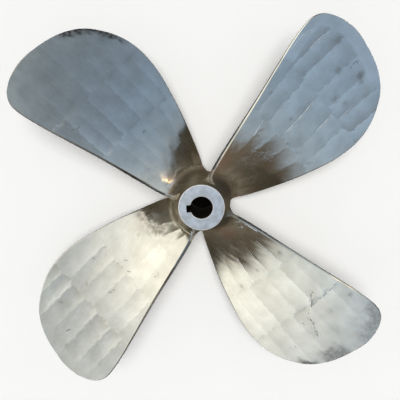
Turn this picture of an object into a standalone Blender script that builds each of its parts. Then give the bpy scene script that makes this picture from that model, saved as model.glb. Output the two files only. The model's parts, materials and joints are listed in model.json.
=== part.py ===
"""Four-bladed ship propeller: one bronze casting, laid on its forward hub face.

The shaft's axis is Z. The forward face of the hub rests on z = 0, and the aft face, where the
shaft nut bears, looks up. Seen from above, which is from aft, the propeller is right-handed: the
curved leading edges lie clockwise of the straight trailing edges, and lower than them.
All sizes are in metres.
"""

import math

import bmesh
import bpy

# Propeller
TIP_RADIUS = 0.600
BLADE_COUNT = 4
FIRST_BLADE_ANGLE = math.radians(45)
PITCH = 0.700
RAKE = math.radians(10.5)

# Hub, turned about Z: a barrel that is widest near its forward end
HUB_LENGTH = 0.195
HUB_MAX_RADIUS = 0.084
HUB_MAX_Z = 0.070
AFT_RADIUS = 0.063
RIM_CHAMFER = 0.0015
BLADE_LINE_Z = 0.1015

# Shaft bore, which widens forward, and the keyway along its whole length
BORE_AFT_RADIUS = 0.031
BORE_TAPER = 1 / 12
BORE_CHAMFER = 0.0020
KEYWAY_WIDTH = 0.020
KEYWAY_DEPTH = 0.0105
KEYWAY_ANGLE = math.radians(185)

# Blade outline laid flat: a radius, then the distances along the blade's section from its
# generator line to the leading edge and to the trailing edge
BLADE_STATIONS = (
    (0.068, 0.112, 0.065),
    (0.096, 0.119, 0.070),
    (0.178, 0.136, 0.082),
    (0.296, 0.169, 0.105),
    (0.406, 0.192, 0.131),
    (0.487, 0.182, 0.150),
    (0.550, 0.132, 0.158),
    (0.580, 0.070, 0.142),
    (0.595, -0.011, 0.105),
)
TIP_CROWN = TIP_RADIUS - BLADE_STATIONS[-1][0]

# Blade thickness at mid-section, and the width of its rounded edges, at the root and at the tip
ROOT_RADIUS = 0.085
THICKNESS = (0.044, 0.006)
LEADING_EDGE_WIDTH = (0.007, 0.003)
TRAILING_EDGE_WIDTH = (0.009, 0.003)
EDGE_ROUNDING = 0.4

# Fillet where a blade meets the hub: its height above the hub and its spread over it
FILLET_HEIGHT = 0.022
FILLET_SPREAD = 0.012
EDGE_FILLET_SPREAD = 0.006

# Stations between which the rows of the blade's mesh stop following the hub's barrel
FOLLOWING_STATIONS = (1, 3)

# Mesh density, with closer rows over the fillet, between two places along the stations
HUB_SEGMENTS = 64
BARREL_STEPS = 10
FILLET_PLACES = (0.6, 1.3)
FILLET_ROWS = 7
BLADE_ROWS = 19
SECTION_STEPS = 12


def mix(start, end, share):
    """Value at a share, 0 to 1, of the way from start to end."""
    return start + (end - start) * share


def hub_radius(z):
    """Radius of the hub's barrel at a height."""
    fall = (HUB_MAX_RADIUS - AFT_RADIUS) / (HUB_LENGTH - HUB_MAX_Z) ** 2
    return HUB_MAX_RADIUS - fall * (z - HUB_MAX_Z) ** 2


def bore_radius(z):
    """Radius of the tapered shaft bore at a height."""
    return BORE_AFT_RADIUS + (HUB_LENGTH - z) * BORE_TAPER / 2


def hub_profile():
    """Closed outline of the hub's wall, as (radius, z), up the bore and down the barrel."""
    profile = [
        (bore_radius(0) + BORE_CHAMFER, 0),
        (bore_radius(BORE_CHAMFER), BORE_CHAMFER),
        (bore_radius(HUB_LENGTH - BORE_CHAMFER), HUB_LENGTH - BORE_CHAMFER),
        (BORE_AFT_RADIUS + BORE_CHAMFER, HUB_LENGTH),
        (AFT_RADIUS - RIM_CHAMFER, HUB_LENGTH),
    ]
    for step in range(BARREL_STEPS + 1):
        z = mix(HUB_LENGTH - RIM_CHAMFER, RIM_CHAMFER, step / BARREL_STEPS)
        profile.append((hub_radius(z), z))
    profile.append((hub_radius(0) - RIM_CHAMFER, 0))
    return profile


def turned_mesh(name, profile, segments):
    """Mesh of a closed profile, as (radius, z), turned a full circle about Z."""
    count = len(profile)
    vertices = []
    faces = []
    for segment in range(segments):
        angle = 2 * math.pi * segment / segments
        ahead = (segment + 1) % segments
        for index, (radius, z) in enumerate(profile):
            above = (index + 1) % count
            vertices.append((radius * math.cos(angle), radius * math.sin(angle), z))
            faces.append(
                (
                    segment * count + index,
                    ahead * count + index,
                    ahead * count + above,
                    segment * count + above,
                )
            )
    mesh = bpy.data.meshes.new(name)
    mesh.from_pydata(vertices, [], faces)
    return mesh


def station_at(place):
    """Radius and edge distances at a place along BLADE_STATIONS, on a smooth curve."""
    last = len(BLADE_STATIONS) - 1
    index = min(int(place), last - 1)
    t = place - index
    before = BLADE_STATIONS[max(index - 1, 0)]
    start = BLADE_STATIONS[index]
    end = BLADE_STATIONS[index + 1]
    after = BLADE_STATIONS[min(index + 2, last)]
    values = []
    for a, b, c, d in zip(before, start, end, after):
        straight = 2 * b + (c - a) * t
        bend = (2 * a - 5 * b + 4 * c - d) * t**2 + (3 * b - a - 3 * c + d) * t**3
        values.append((straight + bend) / 2)
    return values


def section_loop(radius, leading, trailing):
    """Closed outline of a blade section: the flat aft face from the leading edge to the trailing
    edge, then the curved back. Each point is (distance, depth, outward distance, outward depth),
    where the distance is along the section and the depth is forward of the aft face."""
    outward = (radius - ROOT_RADIUS) / (TIP_RADIUS - ROOT_RADIUS)
    thickness = mix(*THICKNESS, outward)
    leading_width = mix(*LEADING_EDGE_WIDTH, outward)
    trailing_width = mix(*TRAILING_EDGE_WIDTH, outward)
    face = []
    back = []
    for step in range(SECTION_STEPS + 1):
        chord = -math.cos(math.pi * step / SECTION_STEPS)
        share = (chord + 1) / 2
        start = EDGE_ROUNDING * leading_width - leading
        end = trailing - EDGE_ROUNDING * trailing_width
        distance = mix(start, end, share)
        edge = mix(leading_width, trailing_width, share)
        depth = edge + (thickness - edge) * (1 - chord**2)
        face.append((distance, 0, 0, -1))
        back.append((distance, depth, 0, 1))
    trailing_nose = (trailing, trailing_width / 2, 1, 0)
    leading_nose = (-leading, leading_width / 2, -1, 0)
    return face + [trailing_nose] + back[::-1] + [leading_nose]


def blade_point(radius, distance, depth):
    """Point on a blade, with the section wrapped on its cylinder along the pitch helix."""
    helix = math.atan2(PITCH, 2 * math.pi * radius)
    around = distance * math.cos(helix) + depth * math.sin(helix)
    z = BLADE_LINE_Z + radius * math.tan(RAKE) + distance * math.sin(helix) - depth * math.cos(helix)
    angle = around / radius
    return radius * math.cos(angle), radius * math.sin(angle), z


def following(place):
    """Share, 1 to 0, of the hub's barrel that a row of the blade's mesh follows."""
    first, last = FOLLOWING_STATIONS
    share = min(max((last - place) / (last - first), 0), 1)
    return share**2 * (3 - 2 * share)


def filleted_point(radius, distance, depth, out_distance, out_depth):
    """Point on a blade, moved outward where it comes near the hub."""
    height = radius - hub_radius(blade_point(radius, distance, depth)[2])
    nearness = min(max(1 - height / FILLET_HEIGHT, 0), 1)
    spread = nearness**2
    return blade_point(
        radius,
        distance + out_distance * EDGE_FILLET_SPREAD * spread,
        depth + out_depth * FILLET_SPREAD * spread,
    )


def blade_rows():
    """Loops of points of one blade, from inside the hub's wall to the tip."""
    last = len(BLADE_STATIONS) - 1
    places = [0]
    places += [mix(*FILLET_PLACES, row / FILLET_ROWS) for row in range(FILLET_ROWS)]
    places += [mix(FILLET_PLACES[1], last, row / BLADE_ROWS) for row in range(BLADE_ROWS + 1)]
    rows = []
    for place in places:
        radius, leading, trailing = station_at(place)
        middle = (trailing - leading) / 2
        half_width = (trailing + leading) / 2
        row = []
        for distance, depth, out_distance, out_depth in section_loop(radius, leading, trailing):
            crown = TIP_CROWN * (1 - ((distance - middle) / half_width) ** 2) * (place / last) ** 3
            narrowing = HUB_MAX_RADIUS - hub_radius(blade_point(radius, distance, depth)[2])
            true_radius = radius + crown - narrowing * following(place)
            row.append(filleted_point(true_radius, distance, depth, out_distance, out_depth))
        rows.append(row)
    return rows


def add_end(bm, loop, facing_out):
    """Close a blade's end, with faces between its aft face and its back."""
    size = len(loop)
    top = SECTION_STEPS
    strips = [(loop[top], loop[top + 1], loop[top + 2]), (loop[-1], loop[0], loop[-2])]
    for step in range(top):
        strips.append((loop[step], loop[step + 1], loop[size - 3 - step], loop[size - 2 - step]))
    for strip in strips:
        bm.faces.new(strip if facing_out else strip[::-1])


def blades_mesh(name):
    """Mesh of all the blades, each one a closed body that starts inside the hub's wall."""
    bm = bmesh.new()
    rows = blade_rows()
    for blade in range(BLADE_COUNT):
        turn = FIRST_BLADE_ANGLE + 2 * math.pi * blade / BLADE_COUNT
        cos_turn = math.cos(turn)
        sin_turn = math.sin(turn)
        loops = [
            [bm.verts.new((x * cos_turn - y * sin_turn, x * sin_turn + y * cos_turn, z)) for x, y, z in row]
            for row in rows
        ]
        for lower, upper in zip(loops, loops[1:]):
            for index in range(len(lower)):
                ahead = (index + 1) % len(lower)
                bm.faces.new((lower[index], lower[ahead], upper[ahead], upper[index]))
        add_end(bm, loops[0], False)
        add_end(bm, loops[-1], True)
    bmesh.ops.recalc_face_normals(bm, faces=bm.faces)
    mesh = bpy.data.meshes.new(name)
    bm.to_mesh(mesh)
    bm.free()
    return mesh


def keyway_mesh(name):
    """Cutter for the keyway, whose floor follows the bore's taper."""
    overrun = 0.01
    half_width = KEYWAY_WIDTH / 2
    bm = bmesh.new()
    corners = []
    for z in (-overrun, HUB_LENGTH + overrun):
        floor = bore_radius(z) + KEYWAY_DEPTH
        for x, y in ((0, -half_width), (floor, -half_width), (floor, half_width), (0, half_width)):
            corners.append(bm.verts.new((x, y, z)))
    bmesh.ops.convex_hull(bm, input=corners)
    mesh = bpy.data.meshes.new(name)
    bm.to_mesh(mesh)
    bm.free()
    return mesh


def bronze():
    """Ground and oxidised propeller bronze."""
    material = bpy.data.materials.new("propeller_bronze")
    material.use_nodes = True
    shader = material.node_tree.nodes["Principled BSDF"]
    shader.inputs["Base Color"].default_value = (0.52, 0.49, 0.40, 1)
    shader.inputs["Metallic"].default_value = 1.0
    shader.inputs["Roughness"].default_value = 0.35
    return material


def add_object(name, mesh):
    """Object of a mesh, shaded smooth between its sharp edges."""
    mesh.shade_smooth()
    mesh.set_sharp_from_angle(angle=math.radians(30))
    thing = bpy.data.objects.new(name, mesh)
    bpy.context.scene.collection.objects.link(thing)
    return thing


def add_helper(name, mesh):
    """Object that only shapes another one, and isn't part of the propeller."""
    helper = add_object(name, mesh)
    helper.hide_render = True
    helper.display_type = "WIRE"
    return helper


def combine(thing, operation, helper):
    """Join a helper to an object, or cut it away."""
    boolean = thing.modifiers.new(helper.name, "BOOLEAN")
    boolean.operation = operation
    boolean.solver = "EXACT"
    boolean.object = helper


def main():
    for thing in list(bpy.data.objects):
        bpy.data.objects.remove(thing)
    propeller = add_object("propeller", turned_mesh("propeller", hub_profile(), HUB_SEGMENTS))
    propeller.data.materials.append(bronze())
    combine(propeller, "UNION", add_helper("blades", blades_mesh("blades")))
    keyway = add_helper("keyway_cutter", keyway_mesh("keyway_cutter"))
    keyway.rotation_euler.z = KEYWAY_ANGLE
    combine(propeller, "DIFFERENCE", keyway)


main()
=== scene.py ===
"""Finish of a four-bladed ship propeller: one bronze casting, ground by hand, seen from aft.

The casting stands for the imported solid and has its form, with the rows of shallow strips that a
disc grinder leaves on the blades' aft faces. Z is the shaft's axis and points aft. Lengths are in
metres. A place on a blade is given by its radius and by its distance along the blade's section
from the generator line, which is negative towards the leading edge.
"""

import json
import math

import bmesh
import bpy
import numpy as np
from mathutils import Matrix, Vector


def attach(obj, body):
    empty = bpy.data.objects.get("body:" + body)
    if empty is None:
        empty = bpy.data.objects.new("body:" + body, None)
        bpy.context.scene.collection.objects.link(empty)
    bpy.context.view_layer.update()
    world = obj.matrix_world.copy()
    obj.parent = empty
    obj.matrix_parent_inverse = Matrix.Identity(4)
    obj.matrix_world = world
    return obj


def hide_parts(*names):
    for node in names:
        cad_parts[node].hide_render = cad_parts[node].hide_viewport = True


bl_info = {
    "name": "Ship propeller",
    "version": (1, 0, 0),
    "blender": (4, 5, 0),
    "location": "3D View > Sidebar > Propeller",
    "description": "Builds a hand-ground bronze ship propeller in a plain studio",
    "category": "Add Mesh",
}

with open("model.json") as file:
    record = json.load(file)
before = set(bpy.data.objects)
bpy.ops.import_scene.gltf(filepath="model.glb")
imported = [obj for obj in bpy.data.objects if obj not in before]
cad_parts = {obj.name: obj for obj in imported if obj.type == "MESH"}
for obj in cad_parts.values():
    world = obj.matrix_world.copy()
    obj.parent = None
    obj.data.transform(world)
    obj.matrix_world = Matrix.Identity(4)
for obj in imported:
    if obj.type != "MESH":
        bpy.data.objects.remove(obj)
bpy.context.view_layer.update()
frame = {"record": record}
MOUNTS = {mount["name"]: mount for mount in frame["record"]["mounts"]}

# Propeller
TIP_RADIUS = 0.600
BLADE_COUNT = 4
FIRST_BLADE_ANGLE = math.radians(45)
PITCH = 0.700
RAKE = math.radians(10.5)

# Hub
HUB_LENGTH = MOUNTS["aft_hub_face"]["pos_m"][2]
HUB_MAX_RADIUS = 0.084
HUB_MAX_Z = 0.070
AFT_RADIUS = 0.063
RIM_CHAMFER = 0.0015
BLADE_LINE_Z = 0.1015

# Shaft bore, which widens forward, and its keyway
BORE_AFT_RADIUS = 0.031
BORE_TAPER = 1 / 12
BORE_CHAMFER = 0.0020
KEYWAY_WIDTH = 0.020
KEYWAY_DEPTH = 0.0105
KEYWAY_ANGLE = math.radians(185)

# Blade outline laid flat: a radius, then the distances from the generator line to the leading
# edge and to the trailing edge
BLADE_STATIONS = (
    (0.068, 0.112, 0.065),
    (0.096, 0.119, 0.070),
    (0.178, 0.136, 0.082),
    (0.296, 0.169, 0.105),
    (0.406, 0.192, 0.131),
    (0.487, 0.182, 0.150),
    (0.550, 0.132, 0.158),
    (0.580, 0.070, 0.142),
    (0.595, -0.011, 0.105),
)
TIP_CROWN = TIP_RADIUS - BLADE_STATIONS[-1][0]
FOLLOWING_STATIONS = (1, 3)

# Blade thickness and edge widths, at the root and at the tip
ROOT_RADIUS = 0.085
THICKNESS = (0.044, 0.006)
LEADING_EDGE_WIDTH = (0.007, 0.003)
TRAILING_EDGE_WIDTH = (0.009, 0.003)
EDGE_ROUNDING = 0.4
EDGE_TRIM = 0.0008
TIP_ROUNDING = 0.0022
CHAMFER_SHARE = 0.6
CHAMFER_SLOPE = math.radians(60)
TIP_TURN = math.radians(80)

# Depth forward of the aft face that a point of a blade lies nearest to, to tell the blades apart
SECTION_DEPTH = 0.01

# Fillet at the blade's root: its radius, the angle where it enters the hub, and how far a root
# reaches into the hub's wall
FILLET_RADIUS = 0.022
FILLET_END = math.radians(80)
EDGE_FILLET_SHARE = 0.5
ROOT_DEPTH = 0.008

# Mesh density, and how much closer together its rows lie near the tip and its columns at the edges
HUB_SEGMENTS = 128
BARREL_STEPS = 36
FACE_STEPS = 120
BACK_STEPS = 30
EDGE_STEPS = 5
FILLET_ROWS = 8
BLADE_ROWS = 116
TIP_ROWS = 4
DISC_SEGMENTS = 96
ROW_CROWDING = 1.2
CHORD_CROWDING = 0.3

# Smoothing where the fillets meet the hub: times, and rings of points on each side of the line
JOINT_SMOOTHING = 4
JOINT_RINGS = 2
SHARP_ANGLE = math.radians(35)

# How finely the outline is followed where marks and strips are set off from it
STATION_STEPS = 40
OUTER_STATION = 3
OUTLINE_STEPS = 80
CROWN_STEPS = 30

# Rows of ground strips on the blades, from the upper right one round anticlockwise. Each row has
# the radius where it starts, how far its strips fan out and lean, their depth beside the usual one,
# which is below 0 where they are crowned, the share of their length where they are deepest, the
# contrast between the painted shade on a strip's leading side and the painted highlight on its
# trailing side, how much darker the strips are painted where the row starts, and the distances of
# the ridges between them at ROW_MIDDLE beyond its start.
ROW_MIDDLE = 0.060
ROW_BOW = 0.9
SCALLOP = 0.005
RIDGE_WOBBLE = 0.0018
GROUND_ROWS = (
    (
        (0.080, 1.2, -0.30, 0.7, 0.0, 0.30, 0.0, (-0.095, -0.050, -0.010, 0.020)),
        (0.172, 1.7, 0.00, 0.9, 0.7, 0.00, 0.0, (-0.103, -0.052, -0.003, 0.040)),
        (0.292, 0.0, 0.12, 1.0, 0.0, 0.45, 0.2, (-0.135, -0.082, -0.016, 0.044, 0.090)),
        (0.431, 0.0, 0.00, 1.0, 0.0, 0.60, 0.4, (-0.150, -0.100, -0.052, 0.000, 0.060, 0.102, 0.138)),
    ),
    (
        (0.080, 1.2, -0.38, 2.0, 0.0, 0.10, 0.0, (-0.100, -0.039, 0.044)),
        (0.174, 1.7, 0.00, 0.8, 0.0, 0.20, 0.2, (-0.108, -0.057, -0.006, 0.037)),
        (0.289, 0.0, 0.00, 0.6, 0.0, 0.30, 0.4, (-0.155, -0.108, -0.055, 0.011, 0.052, 0.090)),
        (0.425, 0.0, 0.00, 0.5, 0.0, 0.15, 0.3, (-0.110, -0.066, -0.008, 0.041, 0.086, 0.120)),
    ),
    (
        (0.080, 1.2, -0.40, 1.7, 0.0, 0.00, 0.0, (-0.088, -0.046, -0.006, 0.027)),
        (0.172, 1.7, 0.00, 0.3, 0.0, 0.00, 0.0, (-0.105, -0.055, -0.005, 0.045)),
        (0.300, 0.0, 0.00, 0.8, 0.0, 0.18, 0.3, (-0.120, -0.068, -0.012, 0.046, 0.095)),
        (0.434, 0.0, 0.00, 1.0, 0.0, 0.25, 0.9, (-0.150, -0.103, -0.048, 0.010, 0.066, 0.112)),
    ),
    (
        (0.080, 1.2, -0.30, 0.5, 0.0, 0.10, 0.0, (-0.095, -0.045, 0.005)),
        (0.176, 1.7, 0.00, -0.6, 0.0, 0.35, 0.2, (-0.105, -0.058, -0.005, 0.045)),
        (0.284, 0.0, 0.00, 0.6, 0.0, 0.45, 0.2, (-0.145, -0.089, -0.024, 0.031, 0.077)),
        (0.419, 0.0, 0.00, 0.4, 0.0, 0.15, 0.4, (-0.148, -0.098, -0.045, 0.013, 0.060, 0.100)),
    ),
)
OUTER_RIDGES = (-0.205, 0.175)
ROW_NUMBERING = 10
SHORTEST_STRIP = 0.02
# Strength of the painted shade and highlight across a strip, how soon the darkening where a row starts
# fades out, and how much the tone differs at random from strip to strip
SAWTOOTH_PAINTED_SHADE = 0.9
ROW_START_DARK_LENGTH = 0.014
STRIP_VARIATION = 0.22

# How squarely a point has to face aft before the grinding shows there, and how soon that is full
FACE_FACING = (0.2, 0.8)

# How soon a strip's hollow and the disc's dig in it deepen and end
RUN_IN = 0.010
RUN_OUT = 0.008
DIG_RUN_IN = 0.003
DIG_LENGTH = 0.014

# What differs from strip to strip at random: the lowest and highest value, and a seed of its own
DEPTH_DRAW = (0.6, 1.3, 1)
DIG_DRAW = (0.3, 1.2, 2)
TONE_DRAW = (-1, 1, 3)
CONTRAST_DRAW = (0.4, 1.3, 4)
DRAWS = 64
SEED_STEP = 1000

# Shortest and longest waves of what grinding by hand leaves uneven: the ridges' line, the whole
# face, the root, and the edge of the cast skin
RIDGE_WAVES = (0.014, 0.040)
FACE_WAVES = (0.07, 0.16)
ROOT_WAVES = (0.018, 0.05)
SKIN_WAVES = (0.02, 0.05)
WAVE_COUNT = 9
WAVE_SEED = 31

# Radii at which the strips' depth and tone, the unevenness and the root's ripple fade in, and over
# what length, which is below 0 where they fade in towards the hub
STRIP_FADE = (0.088, 0.02)
TONE_FADE = (0.09, 0.03)
FACE_FADE = (0.105, 0.03)
ROOT_FADE = (0.26, -0.10)

# The pass round each blade's tip: how strong it is beside the strips, its painted highlight, the
# radius where it starts, how that leans, over what length it fades in, and the distances in from the
# outline over which its painted highlight and the strips' depth change and its fall ends
RIM_SHARE = (1.0, 0.2, 0.35, 0.4)
RIM_PAINTED_HIGHLIGHT = (0.8, 0.1, 0.1, 0.0)
RIM_START = 0.48
RIM_LEAN = 0.5
RIM_FADE = 0.05
RIM_HIGHLIGHT_EDGE = (0.028, 0.006)
RIM_DEPTH_EDGE = (0.030, 0.008)
RIM_WIDTH = 0.034

# How uneven each blade is near its root beside the usual
ROOT_RIPPLE = (0.6, 0.8, 1.2, 0.8)

# Thin burrs left standing along some ridges, and nicks, whose white crests are partly a painted
# glint: the blade, strength, width beside the usual, and places as (distance, radius)
BURRS = (
    (0, 0.8, 1.0, ((0.103, 0.490), (0.103, 0.530), (0.096, 0.550), (0.075, 0.560))),
    (0, 0.7, 1.0, ((0.133, 0.450), (0.141, 0.505), (0.138, 0.522), (0.126, 0.545))),
    (0, 0.6, 1.0, ((-0.098, 0.435), (-0.096, 0.480))),
    (0, 0.6, 1.0, ((-0.151, 0.468), (-0.150, 0.500))),
    (0, 0.8, 1.0, ((-0.081, 0.372), (-0.077, 0.400), (-0.073, 0.433))),
    (0, 1.0, 1.0, ((-0.023, 0.290), (-0.018, 0.345), (-0.014, 0.380), (-0.007, 0.415))),
    (0, 0.6, 1.0, ((0.033, 0.288), (0.042, 0.325), (0.048, 0.362))),
    (0, 1.0, 1.0, ((0.038, 0.235), (0.046, 0.262), (0.054, 0.289))),
    (3, 0.25, 1.0, ((-0.052, 0.190), (-0.059, 0.235), (-0.066, 0.283))),
    (3, 0.25, 1.0, ((-0.003, 0.190), (-0.006, 0.235), (-0.009, 0.283))),
    (3, 0.25, 1.0, ((0.043, 0.180), (0.045, 0.230), (0.047, 0.280))),
    (3, 0.9, 4.5, ((0.035, 0.1230), (0.049, 0.1325))),
    (3, 0.9, 4.5, ((0.045, 0.1060), (0.060, 0.1170))),
    (3, 0.8, 2.2, ((0.064, 0.1180), (0.071, 0.1720))),
)

# Dark scratches and lines of pits, given like the burrs
SCRATCHES = (
    (0, 0.6, 1.0, ((-0.020, 0.545), (-0.008, 0.552), (-0.010, 0.532), (-0.022, 0.530))),
    (1, 0.6, 1.0, ((0.068, 0.388), (0.085, 0.392), (0.103, 0.405))),
    (1, 0.6, 1.0, ((-0.040, 0.262), (-0.028, 0.256))),
    (1, 0.5, 1.0, ((-0.086, 0.338), (-0.072, 0.334))),
    (2, 0.9, 1.0, ((-0.020, 0.532), (-0.013, 0.516))),
    (2, 0.8, 1.0, ((-0.100, 0.502), (-0.084, 0.493))),
    (2, 0.7, 1.0, ((-0.009, 0.375), (-0.003, 0.350))),
    (2, 0.6, 1.0, ((-0.122, 0.360), (-0.108, 0.352))),
    (2, 0.6, 1.0, ((-0.046, 0.282), (-0.034, 0.272))),
    (2, 0.6, 1.0, ((0.030, 0.316), (0.042, 0.300))),
    (2, 0.6, 1.0, ((-0.015, 0.292), (-0.003, 0.284))),
    (2, 0.8, 1.0, ((0.055, 0.248), (0.064, 0.232))),
    (2, 0.6, 1.0, ((0.050, 0.240), (0.057, 0.228))),
    (2, 0.6, 1.0, ((-0.081, 0.400), (-0.066, 0.412))),
    (3, 1.0, 1.0, ((0.055, 0.401), (0.046, 0.397), (0.032, 0.411), (0.020, 0.424), (0.000, 0.431))),
    (3, 1.0, 1.0, ((0.000, 0.431), (-0.010, 0.448), (-0.013, 0.466))),
    (3, 1.0, 1.0, ((-0.013, 0.466), (-0.026, 0.490), (-0.031, 0.508))),
    (3, 0.7, 1.0, ((-0.050, 0.459), (-0.036, 0.452), (-0.022, 0.457))),
    (3, 0.7, 1.0, ((-0.122, 0.498), (-0.102, 0.500))),
    (3, 0.8, 1.0, ((0.118, 0.473), (0.134, 0.477))),
    (3, 0.6, 1.0, ((0.125, 0.428), (0.090, 0.426), (0.040, 0.424), (0.005, 0.428))),
    (3, 0.6, 1.0, ((0.064, 0.262), (0.072, 0.250))),
)

# How far from a line its mark is worked out, steps for each of its places, how soon its ends fade
# in, and how far past a step's ends it still counts
MARK_REACH = 0.006
MARK_STEPS = 12
MARK_END_FADE = 6
MARK_OVERSHOOT = 0.5

# Stains: the blade, distance, radius, size and strength
STAINS = (
    (0, -0.045, 0.540, 0.010, 0.60),
    (0, -0.060, 0.532, 0.007, 0.35),
    (0, 0.008, 0.505, 0.008, 0.40),
    (0, -0.075, 0.470, 0.008, 0.30),
    (0, -0.046, 0.457, 0.010, 0.35),
    (0, 0.070, 0.552, 0.014, 0.30),
    (0, 0.095, 0.355, 0.004, 0.50),
    (0, -0.002, 0.338, 0.004, 0.40),
    (1, -0.035, 0.258, 0.007, 0.25),
    (1, -0.095, 0.485, 0.010, 0.20),
    (2, -0.093, 0.499, 0.007, 0.25),
    (2, 0.010, 0.463, 0.004, 0.50),
    (3, 0.032, 0.412, 0.004, 0.60),
    (3, -0.012, 0.466, 0.004, 0.50),
    (3, -0.026, 0.492, 0.004, 0.60),
    (3, 0.128, 0.475, 0.005, 0.40),
    (3, 0.050, 0.468, 0.010, 0.22),
    (3, -0.105, 0.280, 0.004, 0.50),
    (3, 0.068, 0.256, 0.006, 0.35),
    (3, -0.027, 0.255, 0.004, 0.40),
)

# Pinkish patches, rich in copper, near the roots, given like the stains
COPPER_PATCHES = (
    (0, 0.048, 0.145, 0.026, 0.40),
    (0, 0.052, 0.115, 0.020, 0.35),
    (1, 0.012, 0.118, 0.016, 0.60),
    (3, -0.015, 0.118, 0.030, 0.55),
    (2, -0.110, 0.180, 0.030, 0.30),
)

# Brown oxide and painted dark reflection beyond the usual, given like the stains, or places
# rubbed clean and smooth where the strength is below 0
OXIDE_AND_SHADE_PATCHES = (
    (0, -0.030, 0.200, 0.080, 0.40),
    (1, 0.040, 0.114, 0.034, -1.00),
    (1, -0.010, 0.100, 0.026, 0.60),
    (1, -0.100, 0.190, 0.025, 0.40),
    (2, 0.045, 0.095, 0.050, -1.00),
    (2, -0.085, 0.200, 0.030, 0.35),
    (2, -0.060, 0.170, 0.028, 0.45),
    (2, -0.030, 0.145, 0.020, 0.45),
    (2, 0.000, 0.140, 0.015, 0.40),
)

# Dark bands at the tips, cast skin that the grinder missed, and on the upper left blade a painted
# shade along the tip's leading edge: the blade, where it starts and ends along the section, its
# lowest radius, its width from the outline and its strength
SKIN_AND_SHADE_BANDS = (
    (1, -0.185, -0.045, 0.47, 0.027, 0.95),
    (3, -0.140, -0.075, 0.45, 0.018, 0.85),
    (3, -0.080, 0.020, 0.45, 0.050, 0.55),
    (3, 0.045, 0.170, 0.52, 0.060, 0.36),
)

# How softly a dark band at the tip ends along the section and starts outward, how ragged its edge
# is, and how much stronger than full it is drawn before that edge
SKIN_END_FADE = 0.025
SKIN_START_FADE = 0.015
SKIN_RAGGEDNESS = 0.3
SKIN_STRENGTH = 1.3

# Where the finish changes: the depth over which marks of the aft face fade out round an edge, how
# soft the painted dark outline of the edges is, the radius where brown oxide, partly a painted
# reflection, starts to fade and over what length on the backs, where it is also painted shade, and
# on the faces, the same for the dull roots, and how far apart the blades' patterns are
FACE_DEPTH = (0.0035, -0.002)
EDGE_SOFTNESS = 0.0006
OXIDE_AND_SHADE_START = 0.082
OXIDE_AND_SHADE_REACH = (0.16, 0.050)
DULL_ROOT_FADE = (0.100, 0.130)
BLADE_SPACING_MM = 700

# Marks that the ground bronze reads
MARKS = ("across_mm", "outward_mm", "tone", "burr_mm", "burr", "scratch_mm", "scratch")
MARKS += ("skin", "copper", "edge", "oxide", "dull_root", "rubbed")

# Ground bronze: sizes of its clouding, specks, scratches and lumps in millimetres, how far a dark
# scratch and a burr's steep and gentle flanks reach, heights in metres, and roughness where clean
CLOUD_MM = 45
SPECK_MM = 9
SCRATCH_WIDTH_MM = 4
SCRATCH_LENGTH_MM = 30
LUMP_MM = 14
SCRATCH_FADE_MM = (0.7, 1.8)
BURR_FLANKS_MM = (-0.4, 0.9)
BURR_HEIGHT = 0.0005
LUMP_HEIGHT = 0.0012
SCRATCH_HEIGHT = 0.00002
GROUND_ROUGHNESS = (0.13, 0.18)

# Other finishes: clouds of the faced end, a lathe's rings drawn 1.1 mm apart, because closer ones
# wouldn't show, clouds of 33 mm in the bore's painted shade, file marks of 7 mm and a roller's
# mottle of 170 mm
FACED_CLOUD_MM = 18
RINGS_PER_METRE = 900
RING_HEIGHT = 0.00002
BORE_CLOUDS_PER_METRE = 30
FILE_MARKS_PER_METRE = 150
FLOOR_CLOUDS_PER_METRE = 6

# Stage: the floor, the black pad under the bore that puts painted shade at its end, and the light
# on the floor
FLOOR_RADIUS = 12.0
PAD_HEIGHT = 0.004
PAD_GAP = 0.0001
FLOOR_LIGHT = 2.25
FLOOR_LIGHT_SPREAD = math.radians(30)

# Camera, seen from the centre of the aft hub face
CAMERA_DISTANCE = 1.396
CAMERA_LEAN = math.radians(11.5)
CAMERA_SIDE = math.radians(0.825)
CAMERA_LENS_MM = 46.1
CAMERA_SHIFT = (-0.0036, 0.0197)


def linear(code):
    """Linear colour of an sRGB hex code."""
    values = [int(code[start : start + 2], 16) / 255 for start in (1, 3, 5)]
    return (*[v / 12.92 if v <= 0.04045 else ((v + 0.055) / 1.055) ** 2.4 for v in values], 1.0)


def mix(start, end, share):
    """Value at a share, 0 to 1, of the way from start to end."""
    return start + (end - start) * share


def ease(share):
    """Smooth step of a share, held between 0 and 1."""
    share = np.clip(share, 0, 1)
    return share**2 * (3 - 2 * share)


def fade(value, start, length):
    """Smooth step of a value, from 0 at a start to 1 a length further on."""
    return ease((value - start) / length)


def hub_radius(z):
    """Radius of the hub's barrel at a height."""
    fall = (HUB_MAX_RADIUS - AFT_RADIUS) / (HUB_LENGTH - HUB_MAX_Z) ** 2
    return HUB_MAX_RADIUS - fall * (z - HUB_MAX_Z) ** 2


def bore_radius(z):
    """Radius of the tapered shaft bore at a height."""
    return BORE_AFT_RADIUS + (HUB_LENGTH - z) * BORE_TAPER / 2


def hub_profile():
    """Closed outline of the hub's wall, as (radius, z), up the bore and down the barrel."""
    profile = [
        (bore_radius(0) + BORE_CHAMFER, 0),
        (bore_radius(BORE_CHAMFER), BORE_CHAMFER),
        (bore_radius(HUB_LENGTH - BORE_CHAMFER), HUB_LENGTH - BORE_CHAMFER),
        (BORE_AFT_RADIUS + BORE_CHAMFER, HUB_LENGTH),
        (AFT_RADIUS - RIM_CHAMFER, HUB_LENGTH),
    ]
    for step in range(BARREL_STEPS + 1):
        z = mix(HUB_LENGTH - RIM_CHAMFER, RIM_CHAMFER, step / BARREL_STEPS)
        profile.append((hub_radius(z), z))
    profile.append((hub_radius(0) - RIM_CHAMFER, 0))
    return profile


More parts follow.
